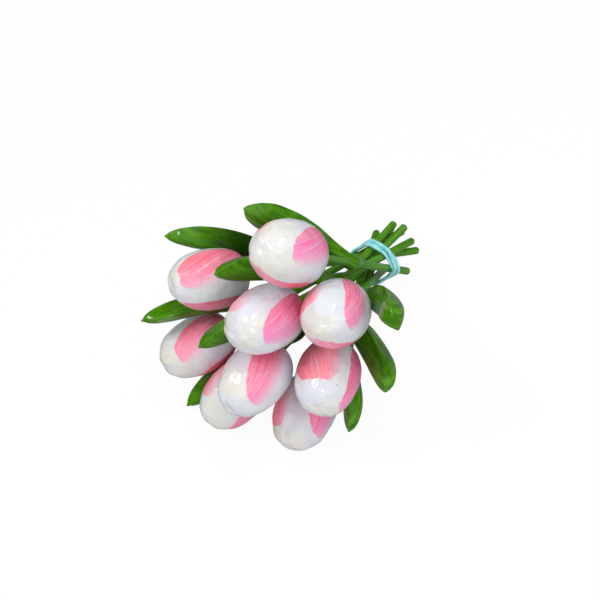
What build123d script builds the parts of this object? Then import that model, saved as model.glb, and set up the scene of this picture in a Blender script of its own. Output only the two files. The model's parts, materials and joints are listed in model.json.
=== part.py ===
"""A bunch of nine painted wooden tulips, lying on a table and tied with a rubber band.

Each tulip is a turned and carved head, a round dowel stem glued in the head's socket, and a
carved leaf whose collar is bored for the stem. The frame has +Z up, the heads towards -Y, the
stem ends towards +Y, and its origin on the table under the middle of the bunch.
"""

from build123d import *
from dataclasses import dataclass
from math import ceil, cos, pi, radians, sin, sqrt
import os

# Tulip sizes, in millimetres
TULIP_LENGTH = 199.0
HEAD_DIAMETER = 40.0
HEAD_LENGTH = 52.0
BELLY_HEIGHT = 22.0
HEAD_BASE_DIAMETER = 13.0
HEAD_FULLNESS = 0.6
PETALS = 3
PETAL_GROOVE_DEPTH = 1.5
PETAL_GROOVE_WIDTH = 1.5
STEM_DIAMETER = 5.5
STEM_END_ROUNDING = 1.8
SOCKET_DEPTH = 18.0
GLUE_GAP = 0.05
SOCKET_END_GAP = 0.3

# Leaf sizes
LEAF_LENGTH = 94.0
LEAF_WIDTH = 21.0
LEAF_OUTER_DEPTH = 5.5
LEAF_INNER_DEPTH = 9.5
LEAF_ROOT_ANGLE = 45.0
LEAF_TIP_ANGLE = 4.0
COLLAR_DIAMETER = 10.6
COLLAR_HEIGHT = 5.0
COLLAR_TAPER = 12.0
COLLAR_LIP = 0.5
BORE_RUN_OUT = 30.0

# Bunch sizes
HEAD_GAP = 1.0
STEM_GAP = 0.3
BUNCH_LIFT = 16.7
BUNCH_ROLL = -5.2

# Rubber band sizes
BAND_STRAND = 2.0
BAND_PITCH = 2.8
BAND_TURNS = 3
BAND_CLEARANCE = 0.3
BAND_CROSSING_LIFT = 3.4
BAND_CROSSING_ANGLE = 65.0

HEAD_PITCH = HEAD_DIAMETER + HEAD_GAP
STEM_PITCH = STEM_DIAMETER + STEM_GAP
VISIBLE_STEM = TULIP_LENGTH - HEAD_LENGTH
BORE_RADIUS = STEM_DIAMETER / 2 + GLUE_GAP


@dataclass
class Tulip:
    """Where one tulip lies in the bunch.

    seat is the stem's place in the band, across and up, in stem pitches. place is the head's
    place in the fan, across and up, and reach is from the band to the middle of the head, both
    in head pitches. leaf_turn is about the stem from the bunch's upper side, and leaf_drop is
    from the head's base down to the leaf's root, in leaf lengths. petal_turn is from the leaf
    to a groove of the head.
    """

    number: int
    seat: tuple
    place: tuple
    reach: float
    leaf_turn: float
    leaf_drop: float
    petal_turn: float


TULIPS = [
    Tulip(1, (2.15, 0.55), (0.05, 1.85), 3.44, 72, 0.59, 54),
    Tulip(2, (-1.1, 0.7), (-1.5, 0.55), 3.15, 70, 0.45, 94),
    Tulip(3, (-2.2, 0.45), (-1.65, -0.85), 3.37, 13, 0.35, 27),
    Tulip(4, (1.1, 1.85), (-0.1, 0.75), 3.27, 60, 0.52, 49),
    Tulip(5, (0.6, -1.5), (0.85, 1.1), 3.12, 290, 0.35, 77),
    Tulip(6, (-0.65, 2.1), (-0.1, -0.3), 3.37, 54, 0.5, 81),
    Tulip(7, (-1.15, -1.05), (0.85, -0.15), 2.93, 287, 0.5, 28),
    Tulip(8, (-0.1, 1.15), (-0.7, -1.25), 3.32, 119, 0.36, 94),
    Tulip(9, (-0.5, -2.1), (0.45, -1.2), 2.98, 293, 0.53, 74),
]


def turned(plane, degrees):
    """The plane, turned about its own normal."""
    return Plane(plane * Rot(Z=degrees))


# The bunch's frame has its origin in the band, Z towards the heads and Y to the upper side
LIFT = radians(BUNCH_LIFT)
bunch = Plane((0, 0, 0), x_dir=(1, 0, 0), z_dir=(0, -cos(LIFT), sin(LIFT)))
bunch = turned(bunch, BUNCH_ROLL)


def seat_point(tulip):
    """The middle of the stem where it passes through the band, in the bunch's frame."""
    return Vector(tulip.seat[0] * STEM_PITCH, tulip.seat[1] * STEM_PITCH, 0)


def head_point(tulip):
    """The middle of the head, in the bunch's frame."""
    across = tulip.place[0] * HEAD_PITCH
    up = tulip.place[1] * HEAD_PITCH
    reach = tulip.reach * HEAD_PITCH
    return Vector(across, up, sqrt(reach**2 - across**2 - up**2))


def tulip_frame(tulip):
    """The frame at the head's base, with Z along the stem to the nose and X towards the leaf."""
    head = bunch.from_local_coords(head_point(tulip))
    axis = (head - bunch.from_local_coords(seat_point(tulip))).normalized()
    upper_side = bunch.y_dir - axis * bunch.y_dir.dot(axis)
    leaf_side = upper_side.rotate(Axis((0, 0, 0), axis), tulip.leaf_turn)
    return Plane(head - axis * (HEAD_LENGTH / 2), x_dir=leaf_side, z_dir=axis)


def side_plane(frame):
    """The plane through the stem and the leaf, with X towards the leaf and Y along the stem."""
    return Plane(frame.origin, x_dir=frame.x_dir, z_dir=-frame.y_dir)


def drilling_plane(frame, height):
    """A plane square to the stem, from which a hole runs towards the nose."""
    return Plane(frame.offset(height).origin, x_dir=frame.x_dir, z_dir=-frame.z_dir)


def crown_curve(radius, height):
    """Half an outline from the belly, of this radius, to a nose at this height, for a sketch."""
    rise = (height - BELLY_HEIGHT) * HEAD_FULLNESS
    return Bezier(
        (radius, BELLY_HEIGHT),
        (radius, BELLY_HEIGHT + rise),
        (radius * HEAD_FULLNESS, height),
        (0, height),
    )


def make_head(tulip, frame):
    """The turned head, with carved grooves between its petals and a blind socket."""
    radius = HEAD_DIAMETER / 2
    base = HEAD_BASE_DIAMETER / 2
    groove_start = radius + PETAL_GROOVE_DEPTH / 2
    groove_floor = HEAD_LENGTH - PETAL_GROOVE_DEPTH
    with BuildPart() as head:
        with BuildSketch(side_plane(frame)):
            with BuildLine():
                Line((0, 0), (base, 0))
                Bezier(
                    (base, 0),
                    (base + (radius - base) * HEAD_FULLNESS, 0),
                    (radius, BELLY_HEIGHT * (1 - HEAD_FULLNESS)),
                    (radius, BELLY_HEIGHT),
                )
                crown_curve(radius, HEAD_LENGTH)
                Line((0, HEAD_LENGTH), (0, 0))
            make_face()
        revolve(axis=Axis(frame.origin, frame.z_dir))
        for petal in range(PETALS):
            turn = tulip.petal_turn + petal * 360 / PETALS
            with BuildSketch(side_plane(turned(frame, turn))):
                with BuildLine():
                    crown_curve(groove_start, groove_floor)
                    Polyline(
                        (0, groove_floor),
                        (0, HEAD_LENGTH + PETAL_GROOVE_DEPTH),
                        (groove_start, HEAD_LENGTH + PETAL_GROOVE_DEPTH),
                        (groove_start, BELLY_HEIGHT),
                    )
                make_face()
            extrude(amount=PETAL_GROOVE_WIDTH / 2, both=True, mode=Mode.SUBTRACT)
        with Locations(drilling_plane(frame, 0)):
            Hole(BORE_RADIUS, SOCKET_DEPTH)
    return head.part


def make_stem(frame):
    """The dowel, from its rounded end to the bottom of the head's socket."""
    with BuildPart() as stem:
        with BuildSketch(frame.offset(-VISIBLE_STEM)):
            Circle(STEM_DIAMETER / 2)
        extrude(amount=VISIBLE_STEM + SOCKET_DEPTH - SOCKET_END_GAP)
        rims = stem.edges().filter_by(GeomType.CIRCLE)
        fillet(rims.sort_by(Axis(frame.origin, frame.z_dir))[0], STEM_END_ROUNDING)
    return stem.part


# The leaf's stations, from root to tip: share of its length, of its width and of its depth
LEAF_STATIONS = [
    (0.0, 0.5, 0.8),
    (0.1, 0.5, 0.8),
    (0.22, 0.62, 0.84),
    (0.4, 0.9, 0.95),
    (0.58, 1.0, 1.0),
    (0.76, 0.95, 0.95),
    (0.9, 0.68, 0.7),
    (0.97, 0.36, 0.38),
    (1.0, 0.1, 0.12),
]


def leaf_plane(root, share):
    """The plane square to the leaf's bent middle line, at a share of its length."""
    start = radians(LEAF_ROOT_ANGLE)
    bend = radians(LEAF_ROOT_ANGLE - LEAF_TIP_ANGLE)
    lean = start - bend * share
    radius = LEAF_LENGTH / bend
    out = radius * (cos(lean) - cos(start))
    along = radius * (sin(start) - sin(lean))
    origin = root.origin + root.x_dir * out + root.z_dir * along
    return Plane(origin, x_dir=-root.y_dir, z_dir=root.x_dir * sin(lean) + root.z_dir * cos(lean))


def make_leaf(tulip, frame):
    """The carved leaf: a thick blade with sharp edges, on a collar that is bored for the stem."""
    root = frame.offset(-tulip.leaf_drop * LEAF_LENGTH)
    collar = COLLAR_DIAMETER / 2
    with BuildPart() as leaf:
        with BuildSketch(side_plane(root)):
            with BuildLine():
                Polyline(
                    (0, -COLLAR_TAPER),
                    (BORE_RADIUS + COLLAR_LIP, -COLLAR_TAPER),
                    (collar, 0),
                    (collar, COLLAR_HEIGHT / 2),
                    (BORE_RADIUS + COLLAR_LIP, COLLAR_HEIGHT),
                    (0, COLLAR_HEIGHT),
                    close=True,
                )
            make_face()
        revolve(axis=Axis(root.origin, root.z_dir))
        for share, width, depth in LEAF_STATIONS:
            half = LEAF_WIDTH / 2 * width
            with BuildSketch(leaf_plane(root, share)):
                with BuildLine():
                    ThreePointArc((-half, 0), (0, LEAF_OUTER_DEPTH * depth), (half, 0))
                    ThreePointArc((half, 0), (0, -LEAF_INNER_DEPTH * depth), (-half, 0))
                make_face()
        loft()
        with Locations(drilling_plane(root, -COLLAR_TAPER)):
            Hole(BORE_RADIUS, COLLAR_TAPER + BORE_RUN_OUT)
    return leaf.part


def band_place(turns, radius):
    """A point of the endless strand, this many turns from its lowest coil, in the bunch's frame.

    All but the last half turn climbs evenly. The last half turn lifts clear of the other coils
    and crosses over them, back to the start.
    """
    climb_turns = BAND_TURNS - 0.5
    width = BAND_PITCH * climb_turns
    turns = turns % BAND_TURNS
    lift = 0
    if turns <= climb_turns:
        forward = BAND_PITCH * turns - width / 2
    else:
        share = (turns - climb_turns) / 0.5
        forward = width / 2 - width * share**3 * (10 - 15 * share + 6 * share**2)
        lift = BAND_CROSSING_LIFT * sin(pi * share) ** 2
    angle = radians(BAND_CROSSING_ANGLE + 90) + 2 * pi * turns
    return Vector((radius + lift) * cos(angle), (radius + lift) * sin(angle), forward)


def band_clearance(radius):
    """The least gap between the stems and a winding of this radius."""
    gap = radius
    steps_per_turn = 48
    for step in range(steps_per_turn * BAND_TURNS):
        place = band_place(step / steps_per_turn, radius)
        for tulip in TULIPS:
            seat = seat_point(tulip)
            heading = (head_point(tulip) - seat).normalized()
            apart = (place - seat).cross(heading).length
            gap = min(gap, apart - (STEM_DIAMETER + BAND_STRAND) / 2)
    return gap


# The winding is drawn in until it just clears the stems
band_radius = 4 * STEM_PITCH
for _ in range(4):
    band_radius += BAND_CLEARANCE - band_clearance(band_radius)


def band_point(turns):
    """A point of the endless strand."""
    return bunch.from_local_coords(band_place(turns, band_radius))


def band_tangent(turns):
    """The strand's direction at that point."""
    step = 0.01
    return (band_point(turns + step) - band_point(turns - step)).normalized()


def biarc_joint(start, start_tangent, end, end_tangent):
    """Where the two arcs of a biarc meet."""
    chord = end - start
    reach = chord.dot(start_tangent + end_tangent)
    bend = 2 * (1 - start_tangent.dot(end_tangent))
    arm = (sqrt(reach**2 + bend * chord.dot(chord)) - reach) / bend
    return (start + end + (start_tangent - end_tangent) * arm) / 2


def make_band():
    """The rubber band: one endless strand wound round the waist of the stems."""
    climb_nodes = 4 * BAND_TURNS - 2
    nodes = [quarter / 4 for quarter in range(climb_nodes)]
    nodes += [climb_nodes / 4 + eighth / 8 for eighth in range(4)]
    halves = []
    middle_node = len(nodes) // 2
    for first, last in ((0, middle_node), (middle_node, len(nodes))):
        with BuildPart() as half:
            with BuildLine() as strand:
                for index in range(first, last):
                    here = nodes[index]
                    there = nodes[(index + 1) % len(nodes)]
                    start, end = band_point(here), band_point(there)
                    heading = band_tangent(here)
                    joint = biarc_joint(start, heading, end, band_tangent(there))
                    arc = TangentArc(start, joint, tangent=heading)
                    TangentArc(joint, end, tangent=arc % 1)
            path = strand.wire()
            with BuildSketch(Plane(path @ 0, z_dir=path % 0)):
                Circle(BAND_STRAND / 2)
            sweep(path=path)
        halves.append((half.part, path))
    with BuildPart() as band:
        for half, _ in halves:
            add(half)
    print_band_gap([line for _, line in halves])
    return band.part


def print_band_gap(lines):
    """Measure the strand's least gap to itself on points along it."""
    points = []
    length = 0
    for line in lines:
        steps = ceil(line.length)
        points += [(length + line.length * step / steps, line @ (step / steps)) for step in range(steps)]
        length += line.length
    gap = length
    for index, (along, point) in enumerate(points):
        for other_along, other in points[index + 1 :]:
            apart = other_along - along
            if min(apart, length - apart) > 4 * BAND_STRAND:
                gap = min(gap, (other - point).length - BAND_STRAND)
    print(f"rubber band: {length:.0f} mm of strand, least gap to itself {gap:.2f} mm")


pieces = {"rubber_band": make_band()}
for tulip in TULIPS:
    frame = tulip_frame(tulip)
    pieces[f"head_{tulip.number}"] = make_head(tulip, frame)
    pieces[f"stem_{tulip.number}"] = make_stem(frame)
    pieces[f"leaf_{tulip.number}"] = make_leaf(tulip, frame)

# The whole bunch is set down with its lowest point on the table and its middle at the origin
boxes = [piece.bounding_box() for piece in pieces.values()]
low = Vector(*(min(axis) for axis in zip(*(box.min for box in boxes))))
high = Vector(*(max(axis) for axis in zip(*(box.max for box in boxes))))
on_table = Vector(-(low.X + high.X) / 2, -(low.Y + high.Y) / 2, -low.Z)
os.makedirs("parts", exist_ok=True)
for name, piece in pieces.items():
    placed = piece.moved(Location(on_table))
    placed.label = name
    export_step(placed, f"parts/{name}.step")
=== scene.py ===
"""A bunch of nine painted wooden tulips on a pale floor, in metres, in the frame of the CAD model."""

import json
import math
from collections import namedtuple

import bpy
import numpy as np
from mathutils import Matrix, Vector, noise


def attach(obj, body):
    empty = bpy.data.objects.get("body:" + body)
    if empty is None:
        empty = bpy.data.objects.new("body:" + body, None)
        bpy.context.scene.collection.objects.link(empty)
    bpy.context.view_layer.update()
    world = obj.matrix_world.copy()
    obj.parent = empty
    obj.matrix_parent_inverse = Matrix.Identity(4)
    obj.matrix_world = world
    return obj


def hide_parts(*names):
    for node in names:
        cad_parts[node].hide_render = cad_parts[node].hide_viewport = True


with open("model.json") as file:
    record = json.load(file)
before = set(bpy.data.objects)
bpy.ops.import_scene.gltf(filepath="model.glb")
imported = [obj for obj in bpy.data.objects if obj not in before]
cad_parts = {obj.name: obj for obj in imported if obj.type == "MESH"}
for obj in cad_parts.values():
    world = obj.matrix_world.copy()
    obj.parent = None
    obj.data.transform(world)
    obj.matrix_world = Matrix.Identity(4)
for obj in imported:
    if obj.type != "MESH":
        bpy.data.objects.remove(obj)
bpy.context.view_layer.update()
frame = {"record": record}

MM = 0.001

# Sizes of the pieces, in millimetres, as in the CAD model
HEAD_DIAMETER = 40.0
HEAD_LENGTH = 52.0
BELLY_HEIGHT = 22.0
HEAD_BASE_DIAMETER = 13.0
HEAD_FULLNESS = 0.6
PETALS = 3
STEM_DIAMETER = 5.5
VISIBLE_STEM = 147.0
LEAF_LENGTH = 94.0
LEAF_WIDTH = 21.0
LEAF_OUTER_DEPTH = 5.5
LEAF_INNER_DEPTH = 9.5
LEAF_ROOT_ANGLE = math.radians(45.0)
LEAF_TIP_ANGLE = math.radians(4.0)
HEAD_PITCH = 41.0
STEM_PITCH = 5.8
BUNCH_LIFT = math.radians(16.7)
BUNCH_ROLL = math.radians(-5.2)

# Each tulip's stem seat in the band, in stem pitches across and up, its head's place in the
# fan, in head pitches across and up, the reach from the band to the head, in head pitches, the
# leaf's turn in degrees, its drop in leaf lengths, and the turn of the head's grooves in degrees
Tulip = namedtuple("Tulip", "seat place reach leaf_turn leaf_drop groove_turn")
LAYOUT = {
    1: Tulip((2.15, 0.55), (0.05, 1.85), 3.44, 72, 0.59, 54),
    2: Tulip((-1.1, 0.7), (-1.5, 0.55), 3.15, 70, 0.45, 94),
    3: Tulip((-2.2, 0.45), (-1.65, -0.85), 3.37, 13, 0.35, 27),
    4: Tulip((1.1, 1.85), (-0.1, 0.75), 3.27, 60, 0.52, 49),
    5: Tulip((0.6, -1.5), (0.85, 1.1), 3.12, 290, 0.35, 77),
    6: Tulip((-0.65, 2.1), (-0.1, -0.3), 3.37, 54, 0.5, 81),
    7: Tulip((-1.15, -1.05), (0.85, -0.15), 2.93, 287, 0.5, 28),
    8: Tulip((-0.1, 1.15), (-0.7, -1.25), 3.32, 119, 0.36, 94),
    9: Tulip((-0.5, -2.1), (0.45, -1.2), 2.98, 293, 0.53, 74),
}

# The painted petals of each head: middle in degrees from the leaf, half width in degrees, top
# as a share of the head's length, tint from lilac pink, 0, to coral, 1, how square the crisp
# side's shoulder is, how far the streaked side leans, in degrees over the head's length, and
# how far it thins out
PETAL_PAINT = {
    1: (
        (234, 41, 0.85, 0.0, 1.7, 30, 0.35),
        (114, 54, 0.935, 0.6, 1.7, 50, 0.7),
        (354, 43, 0.89, 0.7, 1.7, 50, 0.8),
    ),
    2: (
        (260, 46, 0.945, 0.65, 6.0, 65, 0.2),
        (152, 44, 0.895, 0.4, 2.4, 50, 0.6),
        (32, 42, 0.88, 0.5, 1.7, 50, 0.8),
    ),
    3: (
        (318, 41, 0.81, 0.5, 1.9, 50, 0.4),
        (207, 43, 0.815, 0.65, 1.7, 50, 0.6),
        (87, 42, 0.85, 0.5, 1.7, 50, 0.8),
    ),
    4: (
        (236, 40, 0.84, 0.1, 2.2, 10, 0.35),
        (122, 50, 0.94, 0.45, 1.7, 50, 0.8),
        (351, 44, 0.89, 0.75, 1.7, 40, 0.9),
    ),
    5: (
        (21, 53, 0.92, 0.2, 1.7, 133, 0.12),
        (138, 45, 0.875, 0.8, 2.4, 50, 0.5),
        (262, 50, 0.92, 0.25, 2.4, 50, 0.5),
    ),
    6: (
        (266, 46, 0.86, 0.3, 1.7, 62, 0.35),
        (145, 44, 0.935, 0.4, 1.7, 50, 0.8),
        (20, 42, 0.82, 0.7, 1.7, 50, 0.8),
    ),
    7: (
        (98, 51, 0.83, 0.9, 3.0, 25, 0.15),
        (354, 43, 0.9, 0.1, 1.7, 50, 0.35),
        (233, 44, 0.945, 0.4, 1.7, 50, 0.6),
    ),
    8: (
        (279, 41, 0.8, 0.75, 1.7, 50, 0.7),
        (138, 43, 0.865, 0.35, 1.7, 50, 0.7),
        (28, 42, 0.85, 0.5, 1.7, 50, 0.8),
    ),
    9: (
        (128, 43, 0.87, 0.8, 2.0, 35, 0.25),
        (16, 43, 0.79, 0.15, 1.7, 40, 0.3),
        (248, 42, 0.85, 0.5, 1.7, 50, 0.8),
    ),
}


def mix(a, b, share):
    """The value that lies this share of the way from a to b."""
    return a + (b - a) * share


def smooth_step(low, high, value):
    """0 below low, 1 above high, and smooth between."""
    share = np.clip((value - low) / (high - low), 0.0, 1.0)
    return share * share * (3 - 2 * share)


def smoother_step(share):
    """0 at 0 and 1 at 1, without slope or bend at either end."""
    return share**3 * (10 - 15 * share + 6 * share**2)


def bezier(points, count):
    """Points along a cubic Bezier curve."""
    share = np.linspace(0, 1, count)[:, None]
    a, b, c, d = (np.array(point, float) for point in points)
    rest = 1 - share
    return a * rest**3 + 3 * b * rest**2 * share + 3 * c * rest * share**2 + d * share**3


def spline(xs, ys, at):
    """Values of a smooth curve through the given points, which never overshoots them."""
    xs = np.array(xs, float)
    ys = np.array(ys, float)
    steps = np.diff(xs)
    slopes = np.diff(ys) / steps
    tangents = np.zeros(len(xs))
    tangents[0] = slopes[0]
    tangents[-1] = slopes[-1]
    same_way = slopes[:-1] * slopes[1:] > 0
    product = 2 * slopes[:-1] * slopes[1:]
    total = np.where(same_way, slopes[:-1] + slopes[1:], 1)
    tangents[1:-1] = np.where(same_way, product / total, 0)
    spot = np.clip(np.searchsorted(xs, at, side="right") - 1, 0, len(steps) - 1)
    width = steps[spot]
    share = (at - xs[spot]) / width
    rest = 1 - share
    return (
        ys[spot] * (1 + 2 * share) * rest**2
        + tangents[spot] * width * share * rest**2
        + ys[spot + 1] * share**2 * (3 - 2 * share)
        - tangents[spot + 1] * width * share**2 * rest
    )


# The bunch's frame: across, upper side and forward to the heads, from the middle of the band
band_middle = Vector(frame["record"]["mounts"][0]["pos_m"])
forward = Vector((0, -math.cos(BUNCH_LIFT), math.sin(BUNCH_LIFT)))
level_upper = Vector((0, math.sin(BUNCH_LIFT), math.cos(BUNCH_LIFT)))
across = Vector((1, 0, 0)) * math.cos(BUNCH_ROLL) + level_upper * math.sin(BUNCH_ROLL)
upper = forward.cross(across)


def seat_place(number):
    """The middle of a stem where it passes through the band, in millimetres in the bunch's frame."""
    seat = LAYOUT[number].seat
    return Vector((seat[0] * STEM_PITCH, seat[1] * STEM_PITCH, 0))


def head_place(number):
    """The middle of a head, in millimetres in the bunch's frame."""
    side, up = LAYOUT[number].place
    ahead = math.sqrt(LAYOUT[number].reach ** 2 - side**2 - up**2)
    return Vector((side, up, ahead)) * HEAD_PITCH


def in_world(place):
    """A place in the bunch's frame, turned to metres in the frame of the CAD model."""
    return band_middle + (across * place.x + upper * place.y + forward * place.z) * MM


def tulip_matrix(number):
    """The frame at a head's base, in metres: Z along the stem to the nose, X towards the leaf."""
    head = in_world(head_place(number))
    axis = (head - in_world(seat_place(number))).normalized()
    up_side = (upper - axis * upper.dot(axis)).normalized()
    leaf_side = Matrix.Rotation(math.radians(LAYOUT[number].leaf_turn), 3, axis) @ up_side
    base = head - axis * (HEAD_LENGTH / 2 * MM)
    columns = (leaf_side, axis.cross(leaf_side), axis)
    return Matrix.Translation(base) @ Matrix(columns).transposed().to_4x4()


def add_piece(name, points, faces, corner_uv=None):
    """A smooth mesh object from points in metres, with an optional UV for each face corner."""
    mesh = bpy.data.meshes.new(name)
    mesh.from_pydata([tuple(point) for point in points], [], faces)
    if corner_uv is not None:
        layer = mesh.uv_layers.new(name="paint")
        layer.data.foreach_set("uv", np.asarray(corner_uv, float).ravel())
    mesh.polygons.foreach_set("use_smooth", [True] * len(mesh.polygons))
    mesh.validate()
    piece = bpy.data.objects.new(name, mesh)
    bpy.context.scene.collection.objects.link(piece)
    return piece


def grid_faces(rows, columns):
    """Quads of a grid that closes round its columns."""
    faces = []
    for row in range(rows - 1):
        for column in range(columns):
            after = (column + 1) % columns
            here = row * columns
            there = here + columns
            faces.append((here + column, here + after, there + after, there + column))
    return faces


def grid_uv(heights, columns):
    """A UV for each corner of grid_faces: the share of the way round, and the row's height."""
    uv = []
    for low, high in zip(heights[:-1], heights[1:]):
        for column in range(columns):
            left = column / columns
            right = (column + 1) / columns
            uv += [(left, low), (right, low), (right, high), (left, high)]
    return uv


# Materials


class Paint:
    """A node material, with short calls for the nodes that the finishes need."""

    def __init__(self, name):
        self.material = bpy.data.materials.new(name)
        self.material.use_nodes = True
        self.tree = self.material.node_tree
        self.shader = self.tree.nodes["Principled BSDF"]

    def node(self, kind, inputs=(), **settings):
        """A new node. inputs are pairs of socket and value, or of socket and the socket to link."""
        made = self.tree.nodes.new(kind)
        for key, value in settings.items():
            setattr(made, key, value)
        for socket, value in inputs:
            self.put(made.inputs[socket], value)
        return made

    def put(self, socket, value):
        """Links a socket, or sets its value."""
        if isinstance(value, bpy.types.NodeSocket):
            self.tree.links.new(value, socket)
        else:
            socket.default_value = value

    def math(self, operation, a, b=0.0, c=0.0, clamp=False):
        """One sum of up to three values."""
        inputs = ((0, a), (1, b), (2, c))
        return self.node("ShaderNodeMath", inputs, operation=operation, use_clamp=clamp).outputs[0]

    def ramp(self, value, low, high, to_low=0.0, to_high=1.0):
        """A value mapped smoothly from low and high to two others."""
        inputs = ((0, value), (1, low), (2, high), (3, to_low), (4, to_high))
        return self.node("ShaderNodeMapRange", inputs, interpolation_type="SMOOTHSTEP").outputs[0]

    def blend(self, share, a, b):
        """Two colours mixed."""
        made = self.node("ShaderNodeMix", ((0, share), (6, a), (7, b)), data_type="RGBA")
        return made.outputs[2]

    def vector(self, x, y, z):
        """Three values as a vector."""
        return self.node("ShaderNodeCombineXYZ", ((0, x), (1, y), (2, z))).outputs[0]

    def clouds(self, place, scale, detail=3.0, roughness=0.5):
        """Soft noise between about 0.3 and 0.7."""
        inputs = (("Vector", place), ("Scale", scale), ("Detail", detail), ("Roughness", roughness))
        return self.node("ShaderNodeTexNoise", inputs).outputs[0]

    def bump(self, height, distance, strength=1.0, normal=None):
        """A normal from a height."""
        inputs = [("Height", height), ("Distance", distance), ("Strength", strength)]
        if normal is not None:
            inputs.append(("Normal", normal))
        return self.node("ShaderNodeBump", inputs).outputs[0]

    def finish(self, **values):
        """Sets the shader's own sockets, whose names have underscores for spaces."""
        for key, value in values.items():
            self.put(self.shader.inputs[key.replace("_", " ")], value)
        return self.material


def srgb(red, green, blue):
    """A display colour of 0 to 255 as linear RGBA."""
    linear = []
    for part in (red, green, blue):
        part = part / 255
        linear.append(part / 12.92 if part <= 0.04045 else ((part + 0.055) / 1.055) ** 2.4)
    return (*linear, 1.0)


CREAM_WHITE = srgb(222, 219, 207)
COOL_WHITE = srgb(215, 218, 227)
LILAC_PINK = srgb(250, 140, 195)
CORAL_PINK = srgb(255, 140, 155)
ROSE_PINK = srgb(242, 70, 140)
SALMON_PINK = srgb(250, 92, 112)
# Painted shade: the darker pink at the base of the heads, between the stems
SHADED_BASE_PINK = srgb(206, 44, 112)
SPECK = srgb(130, 106, 96)
LEAF_DARK = srgb(50, 102, 3)
LEAF_LIGHT = srgb(82, 146, 8)
STEM_DARK = srgb(66, 122, 18)
STEM_LIGHT = srgb(86, 144, 32)
# Painted shade: the dark green that leaves turn towards their roots
SHADOW_GREEN = srgb(18, 46, 2)
RUBBER_DARK = srgb(126, 205, 211)
RUBBER_LIGHT = srgb(162, 226, 228)

# How dark each leaf's painted shade towards the root is, and the share of its length where that shade
# ends
PAINTED_ROOT_SHADES = {
    1: (0.1, 0.6),
    2: (0.95, 0.88),
    3: (0.6, 0.6),
    4: (0.15, 0.6),
    5: (0.2, 0.6),
    6: (0.5, 0.7),
    7: (0.1, 0.6),
    8: (0.95, 0.95),
    9: (0.6, 0.75),
}
STEM_PAINTED_ROOT_SHADE = (0.0, 0.6)

# In what follows, CLOUDS are a noise's scale, detail and roughness, a RAMP is the low and high
# end of a value and what it becomes there, and a BUMP is a height in metres and its strength
FULL_TURN = 360.0
NOISE_MIDDLE = 0.5

# The brush strokes of a petal: fineness per degree across and per head length along, and slant
# in degrees over the head's length
STREAK_ACROSS = 1.1
STREAK_ALONG = 2.4
STREAK_SLANT = 60.0
STREAK_CLOUDS = (1.0, 4.0, 0.65)
LIGHT_STREAK_RAMP = (0.43, 0.66, 0.0, 0.55)

# The outline of a petal: where its shoulder starts, how square the streaked side's is, and how
# far the crisp edge wanders and frays
SHOULDER_HEIGHT = 0.3
SOFT_SQUARENESS = 6.0
WANDER_ACROSS = 0.05
WANDER_ALONG = 5.0
WANDER_CLOUDS = (1.0, 2.0)
EDGE_WANDER = 0.22
EDGE_FRAY = 0.3
EDGE_RAMP = (0.0, 0.07)

# The streaked side: how far under the top its lean is measured from, how ragged it is, and the
# span in which the paint thins out to FADE_LEAST, each as a value and its change with thinness
LEAN_UNDER_TOP = 0.05
RAGGEDNESS = (1.2, 2.0)
FADE_LOW = (-1.1, -0.2)
FADE_HIGH = (-0.88, 0.95)
FADE_LEAST = 0.05

# The colour of a petal: how far it turns to coral across, how the brush mixes pale and strong
# pink, and how dark the painted shade of deeper pink towards the base is
HUE_ACROSS = 0.22
BRUSHED_MIX = -2.4
STRONG_RAMP = (-0.8, 0.9, 0.0, 0.85)
BASE_SHADE_FRAY = 0.3
BASE_SHADE_RAMP = (0.1, 0.5, 0.7, 0.0)

# The white enamel of a head, and the height of the pink paint on it
HEAD_SEED = 7.3
PETAL_SEED = 2.1
SHADE_CLOUDS = (42.0, 2.0)
SHADE_RAMP = (0.35, 0.65)
NOSE_RAMP = (0.45, 0.95, 0.15, 0.85)
SPECK_CLOUDS = (520.0, 1.0)
SPECK_RAMP = (0.74, 0.79, 0.0, 0.5)
PETAL_THICKNESS = 0.5
PETAL_BUMP = (0.0003, 0.5)
ENAMEL_CLOUDS = (210.0, 2.0)
ENAMEL_BUMP = (0.0008, 0.85)
SHEEN_CLOUDS = (90.0, 3.0)
SHEEN_RAMP = (0.3, 0.7, 0.4, 0.55)

# The green enamel of leaves and stems
GREEN_ALONG = 5.0
GREEN_CLOUDS = (1.0, 4.0, 0.6)
PATCH_CLOUDS = (60.0, 3.0)
GREEN_STREAK_SHARE = 0.75
GREEN_RAMP = (0.38, 0.62)
ROOT_FADE = 0.45
GREEN_BUMP = (0.0004, 0.2)
LUMP_CLOUDS = (60.0, 1.0)
LUMP_HEIGHT = 0.0012
GREEN_SHEEN = (0.3, 0.7)
SHINIER = 0.05
DULLER = 0.08
LEAF_STREAKS = 16.0
LEAF_ROUGHNESS = 0.22
LEAF_LUMPS = 0.5
STEM_STREAKS = 14.0
STEM_ROUGHNESS = 0.32
STEM_LUMPS = 0.1

# The rubber of the band
MOTTLE_CLOUDS = (150.0, 3.0)
MOTTLE_RAMP = (0.35, 0.65)
GRAIN_CLOUDS = (380.0, 2.0)
GRAIN_BUMP = (0.0003, 0.25)


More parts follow.
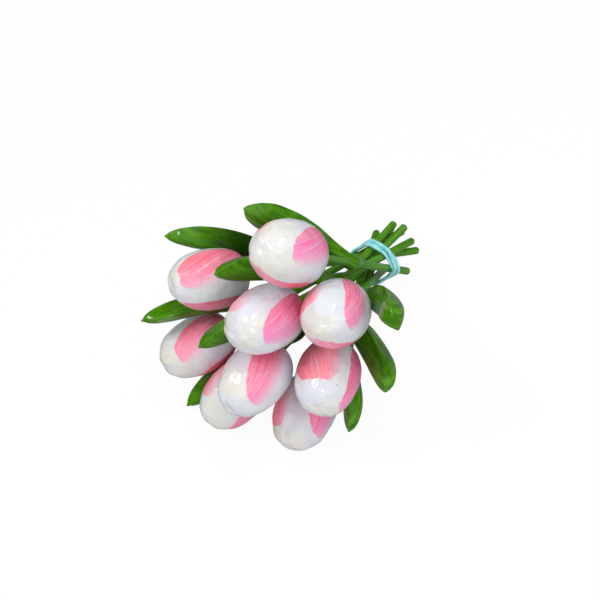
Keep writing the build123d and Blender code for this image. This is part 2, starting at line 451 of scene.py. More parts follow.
def petal_layer(paint, around, height, seed, petal):
    """The cover and colour of one painted petal.

    One side has a crisp edge. The other thins out in brush streaks that run along the petal.
    """
    middle, half_width, top, tint, squareness, lean, thinness = petal
    turn = paint.math("SUBTRACT", around, middle / FULL_TURN - 0.5)
    offset = paint.math("SUBTRACT", paint.math("FRACT", turn), 0.5)
    degrees = paint.math("MULTIPLY", offset, FULL_TURN)
    slanted = paint.math("MULTIPLY_ADD", height, STREAK_SLANT, degrees)
    streak_place = paint.vector(
        paint.math("MULTIPLY", slanted, STREAK_ACROSS),
        paint.math("MULTIPLY", height, STREAK_ALONG),
        seed,
    )
    streaks = paint.clouds(streak_place, *STREAK_CLOUDS)
    wander_place = paint.vector(
        paint.math("MULTIPLY", degrees, WANDER_ACROSS),
        paint.math("MULTIPLY", height, WANDER_ALONG),
        seed,
    )
    wander = paint.math("SUBTRACT", paint.clouds(wander_place, *WANDER_CLOUDS), NOISE_MIDDLE)
    ragged = paint.math("SUBTRACT", streaks, NOISE_MIDDLE)

    # Inside the petal this falls from 1 to 0 at its outline, squarer on the streaked side
    side = paint.math("DIVIDE", degrees, half_width)
    crisp_side = paint.math("GREATER_THAN", side, 0.0)
    power = paint.math("MULTIPLY_ADD", crisp_side, squareness - SOFT_SQUARENESS, SOFT_SQUARENESS)
    sideways = paint.math("POWER", paint.math("ABSOLUTE", side), power)
    above = paint.math("SUBTRACT", height, SHOULDER_HEIGHT)
    rise = paint.math("DIVIDE", above, top - SHOULDER_HEIGHT)
    upward = paint.math("POWER", paint.math("MAXIMUM", rise, 0.0), power)
    inside = paint.math("SUBTRACT", 1.0, paint.math("ADD", sideways, upward))
    inside = paint.math("MULTIPLY_ADD", wander, EDGE_WANDER, inside)
    inside = paint.math("MULTIPLY_ADD", ragged, EDGE_FRAY, inside)
    cover = paint.ramp(inside, *EDGE_RAMP)

    over = paint.math("SUBTRACT", height, top - LEAN_UNDER_TOP)
    leaning = paint.math("MULTIPLY_ADD", over, lean / half_width, side)
    raggedness, fade_low, fade_high = (
        value + change * thinness for value, change in (RAGGEDNESS, FADE_LOW, FADE_HIGH)
    )
    thin = paint.math("MULTIPLY_ADD", ragged, raggedness, leaning)
    fade = paint.ramp(thin, fade_low, fade_high, FADE_LEAST, 1.0)
    cover = paint.math("MULTIPLY", cover, fade)
    light_streak = paint.ramp(streaks, *LIGHT_STREAK_RAMP)
    cover = paint.math("MULTIPLY", cover, paint.math("SUBTRACT", 1.0, light_streak))

    hue = paint.math("MULTIPLY_ADD", side, HUE_ACROSS, tint, clamp=True)
    pale = paint.blend(hue, LILAC_PINK, CORAL_PINK)
    strong = paint.blend(hue, ROSE_PINK, SALMON_PINK)
    brushed = paint.math("MULTIPLY_ADD", ragged, BRUSHED_MIX, side)
    colour = paint.blend(paint.ramp(brushed, *STRONG_RAMP), pale, strong)
    # Painted shade: the petal turns deeper, darker pink towards the head's base
    base_shade = paint.ramp(paint.math("MULTIPLY_ADD", ragged, BASE_SHADE_FRAY, height), *BASE_SHADE_RAMP)
    colour = paint.blend(base_shade, colour, SHADED_BASE_PINK)
    return cover, colour


def head_paint(number):
    """Glossy white enamel with three brushed pink petals."""
    paint = Paint(f"head_paint_{number}")
    uv = paint.node("ShaderNodeUVMap", uv_map="paint").outputs[0]
    split = paint.node("ShaderNodeSeparateXYZ", ((0, uv),))
    around = split.outputs[0]
    height = split.outputs[1]
    place = paint.node("ShaderNodeTexCoord").outputs["Object"]

    shade = paint.ramp(paint.clouds(place, *SHADE_CLOUDS), *SHADE_RAMP)
    nose = paint.ramp(height, *NOSE_RAMP)
    colour = paint.blend(paint.math("MULTIPLY", shade, nose), COOL_WHITE, CREAM_WHITE)
    total = 0.0
    for index, petal in enumerate(PETAL_PAINT[number]):
        seed = number * HEAD_SEED + index * PETAL_SEED
        cover, pink = petal_layer(paint, around, height, seed, petal)
        colour = paint.blend(cover, colour, pink)
        total = paint.math("ADD", total, cover)
    specks = paint.ramp(paint.clouds(place, *SPECK_CLOUDS), *SPECK_RAMP)
    colour = paint.blend(specks, colour, SPECK)

    thickness = paint.math("MULTIPLY", total, PETAL_THICKNESS)
    normal = paint.bump(thickness, *PETAL_BUMP)
    normal = paint.bump(paint.clouds(place, *ENAMEL_CLOUDS), *ENAMEL_BUMP, normal)
    roughness = paint.ramp(paint.clouds(place, *SHEEN_CLOUDS), *SHEEN_RAMP)
    return paint.finish(
        Base_Color=colour,
        Roughness=roughness,
        Normal=normal,
        Specular_IOR_Level=0.15,
        Coat_Weight=0.8,
        Coat_Roughness=0.05,
        Coat_Normal=normal,
    )


def green_paint(name, dark, light, streak_scale, roughness, painted_root_shade, lumps):
    """Glossy green enamel, brushed lengthwise, with painted shade darkening it towards the root."""
    paint = Paint(name)
    uv = paint.node("ShaderNodeUVMap", uv_map="paint").outputs[0]
    split = paint.node("ShaderNodeSeparateXYZ", ((0, uv),))
    place = paint.node("ShaderNodeTexCoord").outputs["Object"]
    streak_place = paint.vector(
        paint.math("MULTIPLY", split.outputs[0], streak_scale),
        paint.math("MULTIPLY", split.outputs[1], GREEN_ALONG),
        0.0,
    )
    streaks = paint.clouds(streak_place, *GREEN_CLOUDS)
    patches = paint.clouds(place, *PATCH_CLOUDS)
    patch_part = paint.math("MULTIPLY", patches, 1 - GREEN_STREAK_SHARE)
    share = paint.math("MULTIPLY_ADD", streaks, GREEN_STREAK_SHARE, patch_part)
    colour = paint.blend(paint.ramp(share, *GREEN_RAMP), dark, light)
    # Painted shade: the colour darkens towards the root, where the heads shade the leaves
    darkness, reach = painted_root_shade
    root = paint.ramp(split.outputs[1], reach - ROOT_FADE, reach, darkness, 0.0)
    colour = paint.blend(root, colour, SHADOW_GREEN)
    normal = paint.bump(streaks, *GREEN_BUMP)
    normal = paint.bump(paint.clouds(place, *LUMP_CLOUDS), LUMP_HEIGHT, lumps, normal)
    return paint.finish(
        Base_Color=colour,
        Roughness=paint.ramp(patches, *GREEN_SHEEN, roughness - SHINIER, roughness + DULLER),
        Normal=normal,
        Specular_IOR_Level=0.1,
        Coat_Weight=0.5,
        Coat_Roughness=0.05,
        Coat_Normal=normal,
    )


def rubber():
    """Aqua rubber, mottled lighter and darker at random."""
    paint = Paint("band_rubber")
    place = paint.node("ShaderNodeTexCoord").outputs["Object"]
    mottle = paint.ramp(paint.clouds(place, *MOTTLE_CLOUDS), *MOTTLE_RAMP)
    return paint.finish(
        Base_Color=paint.blend(mottle, RUBBER_DARK, RUBBER_LIGHT),
        Roughness=0.42,
        Normal=paint.bump(paint.clouds(place, *GRAIN_CLOUDS), *GRAIN_BUMP),
        Subsurface_Weight=0.15,
        Subsurface_Scale=0.002,
    )


# Heads

HEAD_COLUMNS = 168
BASE_ROWS = 36
CROWN_ROWS = 62
GROOVE_DEPTH = 0.12
GROOVE_WIDTH = 1.3
LIP_HEIGHT = 0.8
LIP_WIDTH = 3.5
LIP_REACH = 8.0
DIMPLE_DEPTH = 0.9
DIMPLE_RADIUS = 2.6

# How a groove wanders: its swing, waves in radians per millimetre, the phase's steps by petal and
# by head, and the radius at which it is in full swing
GROOVE_WANDER = 2.2
GROOVE_WAVES = 0.16
GROOVE_PHASES = (2.1, 1.7)
GROOVE_SWING_RADIUS = 12.0

# How strong the carving is: its middle, its spread, the phase's steps, where it starts above the
# belly and is full under the nose, and the radius at which it has died out on the nose
CARVING = 0.65
CARVING_SPREAD = 0.35
CARVING_PHASES = (2.9, 2.3)
CARVING_ABOVE_BELLY = 2
CARVING_UNDER_NOSE = 8
CARVING_RADIUS = 4.0

# The dents of hand work, broad, fine and on the nose only: height, fineness and shift from head to
# head, and where the nose's set in and are full, as shares of the head's length
DENTS = ((0.45, 0.085, 9.1), (0.2, 0.2, 5.7), (0.55, 0.13, 3.9))
NOSE_START = 0.55
NOSE_FULL = 0.9


def head_outline():
    """The turned outline from the rim of the base to near the nose, as radius and height."""
    radius = HEAD_DIAMETER / 2
    base = HEAD_BASE_DIAMETER / 2
    rise = (HEAD_LENGTH - BELLY_HEIGHT) * HEAD_FULLNESS
    lower = bezier(
        (
            (base, 0),
            (base + (radius - base) * HEAD_FULLNESS, 0),
            (radius, BELLY_HEIGHT * (1 - HEAD_FULLNESS)),
            (radius, BELLY_HEIGHT),
        ),
        BASE_ROWS,
    )
    crown = bezier(
        (
            (radius, BELLY_HEIGHT),
            (radius, BELLY_HEIGHT + rise),
            (radius * HEAD_FULLNESS, HEAD_LENGTH),
            (0, HEAD_LENGTH),
        ),
        CROWN_ROWS,
    )
    return np.vstack([lower, crown[1:-1]])


def head_relief(angles, heights, radii, number):
    """How far the carved surface stands off the turned one: grooves, lips and the nose's dimple."""
    groove_turn = math.radians(LAYOUT[number].groove_turn)
    spacing = 2 * math.pi / PETALS
    from_groove = (angles - groove_turn + spacing / 2) % spacing - spacing / 2
    which = np.floor((angles - groove_turn + spacing / 2) / spacing)
    phase = heights * GROOVE_WAVES + which * GROOVE_PHASES[0] + number * GROOVE_PHASES[1]
    wander = GROOVE_WANDER * np.sin(phase)
    sideways = from_groove * radii + wander * smooth_step(0.0, GROOVE_SWING_RADIUS, radii)
    phase = which * CARVING_PHASES[0] + number * CARVING_PHASES[1]
    strength = CARVING + CARVING_SPREAD * np.sin(phase)
    start = BELLY_HEIGHT + CARVING_ABOVE_BELLY
    carved = strength * smooth_step(start, HEAD_LENGTH - CARVING_UNDER_NOSE, heights)
    groove = -GROOVE_DEPTH * np.exp(-((sideways / GROOVE_WIDTH) ** 2))
    lip = LIP_HEIGHT * smooth_step(0.0, LIP_WIDTH, sideways) * np.exp(-np.abs(sideways) / LIP_REACH)
    dimple = -DIMPLE_DEPTH * np.exp(-((radii / DIMPLE_RADIUS) ** 2))
    dimple = dimple * smooth_step(BELLY_HEIGHT, HEAD_LENGTH, heights)
    return carved * (groove + lip) * smooth_step(0.0, CARVING_RADIUS, radii) + dimple


def hand_dent(spot, nose, number):
    """How far hand work stands off the outline at a spot. nose is 1 on the nose and 0 off it."""
    shares = (1.0, 1.0, nose)
    dent = 0.0
    for axis, (height, fineness, step) in enumerate(DENTS):
        shift = Vector((0, 0, 0))
        shift[axis] = number * step
        dent += height * shares[axis] * noise.noise(spot * fineness + shift)
    return dent


def make_head(number, matrix):
    """The carved head, a little uneven as hand work is."""
    outline = head_outline()
    rows = len(outline)
    angles = np.arange(HEAD_COLUMNS) / HEAD_COLUMNS * 2 * math.pi
    heights = np.repeat(outline[:, 1:2], HEAD_COLUMNS, axis=1)
    radii = np.repeat(outline[:, 0:1], HEAD_COLUMNS, axis=1)
    tangent = np.gradient(outline, axis=0)
    tangent /= np.linalg.norm(tangent, axis=1, keepdims=True)
    turned = np.broadcast_to(angles, heights.shape)
    relief = head_relief(turned, heights, radii, number)
    points = []
    for row in range(rows):
        radius, height = outline[row]
        out = tangent[row, 1]
        up = -tangent[row, 0]
        nose = float(smooth_step(HEAD_LENGTH * NOSE_START, HEAD_LENGTH * NOSE_FULL, height))
        for column, angle in enumerate(angles):
            x = math.cos(angle)
            y = math.sin(angle)
            dent = hand_dent(Vector((radius * x, radius * y, height)), nose, number)
            stand = relief[row, column] + dent
            reach = radius + stand * out
            points.append(Vector((reach * x, reach * y, height + stand * up)))
    faces = grid_faces(rows, HEAD_COLUMNS)
    shares = outline[:, 1] / HEAD_LENGTH
    uv = grid_uv(shares, HEAD_COLUMNS)
    base_point = len(points)
    nose_point = base_point + 1
    points.append(Vector((0, 0, 0)))
    points.append(Vector((0, 0, HEAD_LENGTH)))
    last = (rows - 1) * HEAD_COLUMNS
    for column in range(HEAD_COLUMNS):
        after = (column + 1) % HEAD_COLUMNS
        left = column / HEAD_COLUMNS
        right = (column + 1) / HEAD_COLUMNS
        faces.append((base_point, after, column))
        uv += [(left, 0), (right, 0), (left, 0)]
        faces.append((last + column, last + after, nose_point))
        uv += [(left, shares[-1]), (right, shares[-1]), (left, 1.0)]
    piece = add_piece(f"tulip_head_{number}", [matrix @ (point * MM) for point in points], faces, uv)
    piece.data.materials.append(head_paint(number))
    return piece


# Stems

STEM_COLUMNS = 28
STEM_ROWS = 60
STEM_END_STEPS = 6
STEM_END_ROUNDING = 1.8
STEM_TOP = 6.0

# How uneven the dowel is, as a share of its radius, the unevenness' fineness along and overall,
# and its shift from stem to stem
UNEVENNESS = 0.018
UNEVEN_ALONG = 0.06
UNEVEN_FINENESS = 1.3
UNEVEN_SHIFT = 3.3


def make_stem(number, matrix, material):
    """The dowel, a little uneven under its paint, with a rounded end."""
    radius = STEM_DIAMETER / 2
    rings = []
    for step in range(STEM_END_STEPS + 1):
        angle = step / STEM_END_STEPS * math.pi / 2
        inset = STEM_END_ROUNDING * (1 - math.sin(angle))
        rings.append((radius - inset, STEM_END_ROUNDING * (1 - math.cos(angle))))
    length = VISIBLE_STEM + STEM_TOP
    for step in range(1, STEM_ROWS + 1):
        rings.append((radius, mix(STEM_END_ROUNDING, length, step / STEM_ROWS)))
    points = []
    for ring_radius, along in rings:
        for column in range(STEM_COLUMNS):
            angle = column / STEM_COLUMNS * 2 * math.pi
            x = math.cos(angle)
            y = math.sin(angle)
            spot = Vector((x, y, along * UNEVEN_ALONG + number * UNEVEN_SHIFT))
            uneven = ring_radius * (1 + UNEVENNESS * noise.noise(spot * UNEVEN_FINENESS))
            points.append(Vector((uneven * x, uneven * y, along - VISIBLE_STEM)))
    faces = grid_faces(len(rings), STEM_COLUMNS)
    uv = grid_uv([along / length for _, along in rings], STEM_COLUMNS)
    faces.append(tuple(reversed(range(STEM_COLUMNS))))
    uv += [(0.5, 0.0)] * STEM_COLUMNS
    last = (len(rings) - 1) * STEM_COLUMNS
    faces.append(tuple(range(last, last + STEM_COLUMNS)))
    uv += [(0.5, 1.0)] * STEM_COLUMNS
    piece = add_piece(f"tulip_stem_{number}", [matrix @ (point * MM) for point in points], faces, uv)
    piece.data.materials.append(material)
    return piece


# Leaves

LEAF_SHARES = (0.0, 0.1, 0.22, 0.4, 0.58, 0.76, 0.9, 0.97, 1.0)
LEAF_WIDTHS = (0.5, 0.5, 0.62, 0.9, 1.0, 0.95, 0.68, 0.36, 0.1)
LEAF_OUTER_DEPTHS = (0.8, 0.8, 0.84, 0.95, 1.0, 0.97, 0.8, 0.5, 0.14)
LEAF_INNER_DEPTHS = (0.8, 0.8, 0.84, 0.95, 1.0, 0.95, 0.7, 0.38, 0.12)
COLLAR_OUTLINE = ((-12.0, 3.0), (-10.0, 3.35), (-7.5, 4.0), (-5.0, 4.6), (-3.0, 5.0), (-1.5, 5.2))
NUB_OUTLINE = ((0.2, 0.95), (0.5, 0.95), (0.8, 0.8), (1.0, 0.45))
SECTION_SHARES = (0.0, 0.015, 0.05, 0.13, 0.22, 0.32, 0.42, 0.5, 0.58, 0.68, 0.78, 0.87, 0.95, 0.985)
EDGE_ROUNDING = 0.012
FACE_ROUNDNESS = 1.6
BLADE_START = 0.14
BLADE_SPACING = 0.85
BLADE_ROWS = 64
JOIN_ROWS = 12
JOIN_REACH = 5.0
HEADING_STEP = 0.01

# How far some leaves hug their stem before they flare, in millimetres, and how much wider and
# how much fuller on the outer side some are, as shares
LEAF_HUG = {7: 7.0, 9: 8.0}
LEAF_WIDER = {2: 1.1, 4: 1.25, 5: 1.12, 7: 1.08}
LEAF_FULLER = {4: 1.2, 5: 1.15, 7: 1.4, 9: 0.9}
HUG_FULL = 0.35
HUG_END = 0.92
GROWTH = (0.1, 0.4)

# Where the tip's taper starts, and how much blunter than most some tips are
TAPER_START = 0.76
LEAF_BLUNTER = {5: 2.2}

# How far some leaves twist round their middle line, in degrees, and the span in which they do
LEAF_TWIST = {5: -9.0}
TWIST_SPAN = (0.1, 0.5)

# How uneven the carved faces are: height, fineness, shift from leaf to leaf, and where it sets in
LEAF_UNEVENNESS = 0.4
LEAF_UNEVEN_FINENESS = 0.06
LEAF_UNEVEN_SHIFT = 4.7
LEAF_UNEVEN_SPAN = (0.05, 0.3)

# How far the paint's place across a leaf moves with the height of its face
PAINT_ON_RISE = 0.4


def leaf_section(half, outer, inner):
    """The lens across a leaf: from one edge over the outer face to the other, and back inside."""
    section = []
    for rise, way in ((outer, 1), (inner, -1)):
        for share in SECTION_SHARES:
            side = mix(-1.0, 1.0, share)
            fall = abs(side) ** FACE_ROUNDNESS
            if share == 0:
                side += EDGE_ROUNDING
            section.append((way * half * side, way * rise * (1 - fall)))
    return np.array(section)


def round_section(radius):
    """A circle with its points in the order of leaf_section."""
    section = []
    for way in (1, -1):
        for share in SECTION_SHARES:
            angle = mix(-math.pi / 2, math.pi / 2, share)
            section.append((way * radius * math.sin(angle), way * radius * math.cos(angle)))
    return np.array(section)


def leaf_spot(number, share):
    """A place on the leaf's bent middle line: out from the stem and along it."""
    bend = LEAF_ROOT_ANGLE - LEAF_TIP_ANGLE
    lean = LEAF_ROOT_ANGLE - bend * share
    radius = LEAF_LENGTH / bend
    out = radius * (math.cos(lean) - math.cos(LEAF_ROOT_ANGLE))
    along = radius * (math.sin(LEAF_ROOT_ANGLE) - math.sin(lean))
    hug = LEAF_HUG.get(number, 0.0) * smooth_step(0.0, HUG_FULL, share)
    hug = hug * (1 - smooth_step(HUG_FULL, HUG_END, share))
    return np.array((out - hug, along))


def blade_section(number, share):
    """The leaf's section at this share of its length."""
    left = (1 - max(share, TAPER_START)) / (1 - TAPER_START)
    if share > TAPER_START:
        share = 1 - (1 - TAPER_START) * left ** (1 / LEAF_BLUNTER.get(number, 1.0))
    half = LEAF_WIDTH / 2 * float(spline(LEAF_SHARES, LEAF_WIDTHS, share))
    outer = LEAF_OUTER_DEPTH * float(spline(LEAF_SHARES, LEAF_OUTER_DEPTHS, share))
    inner = LEAF_INNER_DEPTH * float(spline(LEAF_SHARES, LEAF_INNER_DEPTHS, share))
    half *= mix(1.0, LEAF_WIDER.get(number, 1.0), smooth_step(*GROWTH, share))
    outer *= mix(1.0, LEAF_FULLER.get(number, 1.0), smooth_step(*GROWTH, share))
    return leaf_section(half, outer, inner)


def leaf_rows(number):
    """The leaf's rows from the collar's foot to the nub: middle, section and share of the blade."""
    rows = []
    for along, radius in COLLAR_OUTLINE:
        rows.append((np.array((0.0, along)), round_section(radius), along / LEAF_LENGTH))
    foot = rows[-1][0]
    start = leaf_spot(number, BLADE_START)
    heading = leaf_spot(number, BLADE_START + HEADING_STEP) - start
    heading *= JOIN_REACH / np.linalg.norm(heading)
    join = bezier((foot, foot + (0.0, JOIN_REACH), start - heading, start), JOIN_ROWS + 1)
    collar = round_section(COLLAR_OUTLINE[-1][1])
    for step in range(1, JOIN_ROWS):
        grown = float(smooth_step(0.0, 1.0, step / JOIN_ROWS))
        share = BLADE_START * (step / JOIN_ROWS)
        rows.append((join[step], mix(collar, blade_section(number, share), grown), share))
    for step in range(BLADE_ROWS):
        share = mix(BLADE_START, 1.0, (step / (BLADE_ROWS - 1)) ** BLADE_SPACING)
        rows.append((leaf_spot(number, share), blade_section(number, share), share))
    tip = leaf_spot(number, 1.0)
    heading = tip - leaf_spot(number, 1.0 - HEADING_STEP)
    heading /= np.linalg.norm(heading)
    for ahead, radius in NUB_OUTLINE:
        rows.append((tip + heading * ahead, round_section(radius), 1.0))
    return rows


def make_leaf(number, matrix, material):
    """The carved leaf: a thick blade with crisp edges that grows out of a collar round the stem."""
    rows = leaf_rows(number)
    columns = 2 * len(SECTION_SHARES)
    middles = np.array([row[0] for row in rows])
    headings = np.gradient(middles, axis=0)
    headings /= np.linalg.norm(headings, axis=1, keepdims=True)
    points = []
    paint_at = []
    for (middle, section, share), heading in zip(rows, headings):
        twist = math.radians(LEAF_TWIST.get(number, 0.0)) * float(smooth_step(*TWIST_SPAN, share))
        turned = Matrix.Rotation(twist, 2)
        uneven = LEAF_UNEVENNESS * float(smooth_step(*LEAF_UNEVEN_SPAN, share))
        for corner in section:
            sideways, rise = turned @ Vector(corner)
            spot = Vector((sideways, rise, share * LEAF_LENGTH)) * LEAF_UNEVEN_FINENESS
            rise += uneven * noise.noise(spot + Vector((number * LEAF_UNEVEN_SHIFT, 0, 0)))
            out = middle[0] + rise * heading[1]
            points.append(Vector((out, sideways, middle[1] - rise * heading[0])))
            paint_at.append(((sideways + PAINT_ON_RISE * rise) / LEAF_WIDTH, share))
    faces = grid_faces(len(rows), columns)
    faces.append(tuple(reversed(range(columns))))
    last = (len(rows) - 1) * columns
    faces.append(tuple(range(last, last + columns)))
    uv = [paint_at[index] for face in faces for index in face]
    root = matrix @ Matrix.Translation((0, 0, -LAYOUT[number].leaf_drop * LEAF_LENGTH * MM))
    piece = add_piece(f"tulip_leaf_{number}", [root @ (point * MM) for point in points], faces, uv)
    piece.data.materials.append(material)
    return piece


# Rubber band

BAND_STEPS = 150
BAND_COLUMNS = 14
BAND_TURNS = 3
BAND_WIDTH = 3.0
BAND_THICKNESS = 2.4
BAND_PITCH = 1.7
BAND_GAP = 0.1
BAND_SMOOTHINGS = 6

# How far the strand weaves along and out, and how many times it does in all its turns
BAND_WEAVE = 0.6
BAND_WEAVES_ALONG = 4
BAND_WEAVES_OUT = 5

# How far the first turn strays from the others, where, and how narrow that place is
BAND_STRAY = 5.0
BAND_STRAY_ANGLE = 14.0
BAND_STRAY_POWER = 3

# Where the middle of the strand's crossing back over the other turns is, in degrees, how high it
# stands and how many turns it takes
BAND_CROSSING_ANGLE = 65.0
BAND_CROSSING_LIFT = 3.0
BAND_CROSSING_TURNS = 0.5

# The hull of the stems is found from directions up to this far to each side, in radians, round
# stems that are thicker by this factor
HULL_SPREAD = 1.45
HULL_DIRECTIONS = 61
HULL_STEM_FACTOR = 1.08


def band_reach(angle, along):
    """How far the hull of the stems reaches from the bunch's middle, in one direction."""
    facing = np.linspace(-HULL_SPREAD, HULL_SPREAD, HULL_DIRECTIONS) + angle
    normals = np.stack([np.cos(facing), np.sin(facing)])
    support = np.full(len(facing), -1.0)
    for number in LAYOUT:
        seat = seat_place(number)
        slope = head_place(number) - seat
        spot = seat + slope * (along / slope.z)
        support = np.maximum(support, spot.x * normals[0] + spot.y * normals[1])
    support += STEM_DIAMETER / 2 * HULL_STEM_FACTOR
    return float(np.min(support / np.cos(facing - angle)))


def band_path():
    """The strand's endless middle line, in millimetres in the bunch's frame."""
    climb = BAND_TURNS - BAND_CROSSING_TURNS
    width = BAND_PITCH * climb
    band_start = math.radians(BAND_CROSSING_ANGLE + FULL_TURN * BAND_CROSSING_TURNS / 2)
    path = []
    for step in range(BAND_STEPS * BAND_TURNS):
        turns = step / BAND_STEPS
        lift = 0.0
        if turns <= climb:
            along = BAND_PITCH * turns - width / 2
        else:
            share = (turns - climb) / BAND_CROSSING_TURNS
            along = width / 2 - width * smoother_step(share)
            lift = BAND_CROSSING_LIFT * math.sin(math.pi * share) ** 2
        angle = band_start + 2 * math.pi * turns
        along += BAND_WEAVE * math.sin(turns * 2 * math.pi * BAND_WEAVES_ALONG / BAND_TURNS)
        lift += BAND_WEAVE / 2 * (1 + math.sin(turns * 2 * math.pi * BAND_WEAVES_OUT / BAND_TURNS))
        if turns < 1:
            facing = max(0.0, math.cos(angle - math.radians(BAND_STRAY_ANGLE)))
            along -= BAND_STRAY * facing**BAND_STRAY_POWER
        reach = band_reach(angle, along) + BAND_THICKNESS / 2 + BAND_GAP + lift
        path.append((reach * math.cos(angle), reach * math.sin(angle), along))
    path = np.array(path)
    for _ in range(BAND_SMOOTHINGS):
        path = (np.roll(path, 1, axis=0) + 2 * path + np.roll(path, -1, axis=0)) / 4
    return path


def make_band(material):
    """The rubber band: one endless strand wound round the stems and crossing over itself."""
    path = band_path()
    count = len(path)
    heading = np.roll(path, -1, axis=0) - np.roll(path, 1, axis=0)
    heading /= np.linalg.norm(heading, axis=1, keepdims=True)
    outward = path * (1, 1, 0)
    outward -= heading * np.sum(outward * heading, axis=1, keepdims=True)
    outward /= np.linalg.norm(outward, axis=1, keepdims=True)
    sideways = np.cross(heading, outward)
    points = []
    for step in range(count):
        for column in range(BAND_COLUMNS):
            angle = column / BAND_COLUMNS * 2 * math.pi
            off = outward[step] * math.cos(angle) * BAND_THICKNESS / 2
            off = off + sideways[step] * math.sin(angle) * BAND_WIDTH / 2
            points.append(in_world(Vector(path[step] + off)))
    faces = grid_faces(count, BAND_COLUMNS)
    last = (count - 1) * BAND_COLUMNS
    for column in range(BAND_COLUMNS):
        after = (column + 1) % BAND_COLUMNS
        faces.append((last + column, last + after, after, column))
    piece = add_piece("band_strand", points, faces)
    piece.data.materials.append(material)
    return piece


# The bunch

stem_green = green_paint(
    "stem_paint",
    STEM_DARK,
    STEM_LIGHT,
    STEM_STREAKS,
    STEM_ROUGHNESS,
    STEM_PAINTED_ROOT_SHADE,
    STEM_LUMPS,
)
for number in LAYOUT:
    matrix = tulip_matrix(number)
    leaf_green = green_paint(
        f"leaf_paint_{number}",
        LEAF_DARK,
        LEAF_LIGHT,
        LEAF_STREAKS,
        LEAF_ROUGHNESS,
        PAINTED_ROOT_SHADES[number],
        LEAF_LUMPS,
    )
    made = (
        (make_head(number, matrix), f"head_{number}", "petal_paint"),
        (make_stem(number, matrix, stem_green), f"stem_{number}", "stem_paint"),
        (make_leaf(number, matrix, leaf_green), f"leaf_{number}", "leaf_paint"),
    )
    for piece, node, slot in made:
        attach(piece, f"tulip_{number}")
        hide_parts(node)
band = make_band(rubber())
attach(band, "band")
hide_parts("rubber_band")

# Camera, at the photograph's place
CAMERA_PLACE = Vector((0.2622, -0.2942, 0.4973))
CAMERA_TARGET = Vector((-0.0144, -0.0039, 0.0510))
CAMERA_ROLL = math.radians(-14.46)
CAMERA_LENS = 52.8
CAMERA_SENSOR = 36.0

ahead = (CAMERA_TARGET - CAMERA_PLACE).normalized()
level = ahead.cross(Vector((0, 0, 1))).normalized()
top = level.cross(ahead)
right = level * math.cos(CAMERA_ROLL) + top * math.sin(CAMERA_ROLL)
camera = bpy.data.objects.new("camera", bpy.data.cameras.new("camera"))
camera.data.lens = CAMERA_LENS
camera.data.sensor_width = CAMERA_SENSOR
turned = Matrix((right, right.cross(ahead), -ahead)).transposed()
camera.matrix_world = Matrix.Translation(CAMERA_PLACE) @ turned.to_4x4()
bpy.context.scene.collection.objects.link(camera)
bpy.context.scene.camera = camera


# Floor, world and lamps

WHITE = (1, 1, 1, 1)
FLOOR_GREY = (0.9, 0.9, 0.9, 1)
FLOOR_REACH = 4
FLOOR_GLOW = 0.94
FLOOR_GLOSS = 0.22
WORLD_LIGHT = 0.44
WORLD_GLOSS = 0.03
WARM_LIGHT = (1.0, 0.985, 0.96)
CEILING_LIGHT = (1.0, 0.99, 0.97)
PLAIN_LIGHT = (1.0, 1.0, 1.0)
COOL_LIGHT = (0.96, 0.98, 1.0)
LAMP_TARGET = Vector((0, 0, 0.06))

# The soft boxes: place and size in metres, power in watts, and colour
LAMPS = {
    "left_pane": ((-0.52, -0.34, 1.02), (0.07, 0.22), 2.1, WARM_LIGHT),
    "right_pane": ((-0.34, -0.46, 1.05), (0.07, 0.22), 2.1, WARM_LIGHT),
    "ceiling": ((0.26, 0.13, 1.2), (0.4, 0.18), 3.2, CEILING_LIGHT),
    "front": ((0.585, -0.633, 1.018), (1.4, 1.4), 5.0, PLAIN_LIGHT),
    "low_pane": ((0.6, -0.65, 0.82), (0.08, 0.13), 0.9, PLAIN_LIGHT),
    "window": ((0.9, 0.4, 0.65), (1.0, 0.9), 2.6, COOL_LIGHT),
}


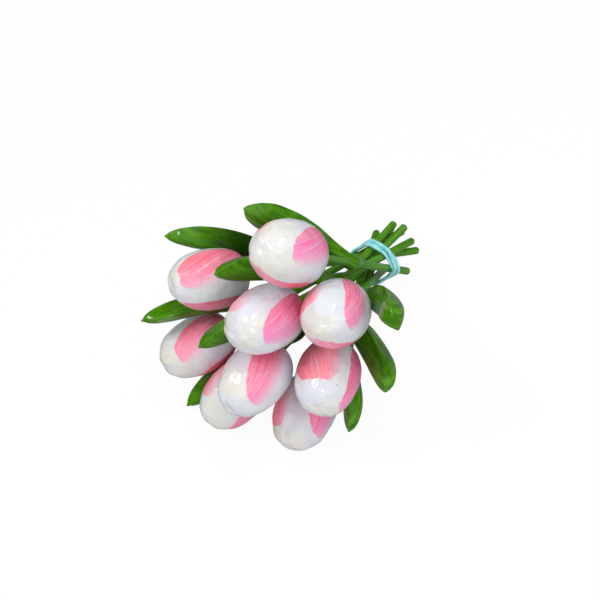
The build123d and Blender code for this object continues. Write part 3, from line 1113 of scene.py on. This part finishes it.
def make_floor():
    """A pale floor that the camera sees as nearly white, with a soft shadow."""
    corners = ((-1, -1), (1, -1), (1, 1), (-1, 1))
    points = [(x * FLOOR_REACH, y * FLOOR_REACH, 0) for x, y in corners]
    floor = add_piece("floor", points, [(0, 1, 2, 3)])
    paint = Paint("floor")
    paint.finish(Base_Color=FLOOR_GREY, Roughness=0.8, Specular_IOR_Level=0.2)
    rays = paint.node("ShaderNodeLightPath")
    shader = paint.shader
    seen = paint.math("MULTIPLY", rays.outputs["Is Camera Ray"], FLOOR_GLOW)
    for share, strength in ((seen, 1.0), (rays.outputs["Is Glossy Ray"], FLOOR_GLOSS)):
        glow = paint.node("ShaderNodeEmission", (("Color", WHITE), ("Strength", strength)))
        inputs = ((0, share), (1, shader.outputs[0]), (2, glow.outputs[0]))
        shader = paint.node("ShaderNodeMixShader", inputs)
    output = paint.tree.nodes["Material Output"]
    paint.tree.links.new(shader.outputs[0], output.inputs["Surface"])
    floor.data.materials.append(paint.material)


def make_world():
    """White to the camera, an even soft light on the object, and a dim room in its gloss."""
    world = bpy.data.worlds.new("studio")
    bpy.context.scene.world = world
    world.use_nodes = True
    tree = world.node_tree
    background = tree.nodes["Background"]
    background.inputs["Color"].default_value = WHITE
    rays = tree.nodes.new("ShaderNodeLightPath")
    level = WORLD_LIGHT
    for ray, strength in (("Is Glossy Ray", WORLD_GLOSS), ("Is Camera Ray", 1.0)):
        pick = tree.nodes.new("ShaderNodeMix")
        tree.links.new(rays.outputs[ray], pick.inputs[0])
        if isinstance(level, float):
            pick.inputs[2].default_value = level
        else:
            tree.links.new(level, pick.inputs[2])
        pick.inputs[3].default_value = strength
        level = pick.outputs[0]
    tree.links.new(level, background.inputs["Strength"])


def add_lamp(name, place, size, watts, colour):
    """A soft box that faces the bunch."""
    data = bpy.data.lights.new(name, "AREA")
    data.shape = "RECTANGLE"
    data.size, data.size_y = size
    data.energy = watts
    data.color = colour
    lamp = bpy.data.objects.new(name, data)
    lamp.location = place
    lamp.rotation_euler = (LAMP_TARGET - Vector(place)).to_track_quat("-Z", "Y").to_euler()
    bpy.context.scene.collection.objects.link(lamp)


make_floor()
make_world()
for name, lamp in LAMPS.items():
    add_lamp(name, *lamp)

bpy.context.scene.view_settings.view_transform = "Standard"
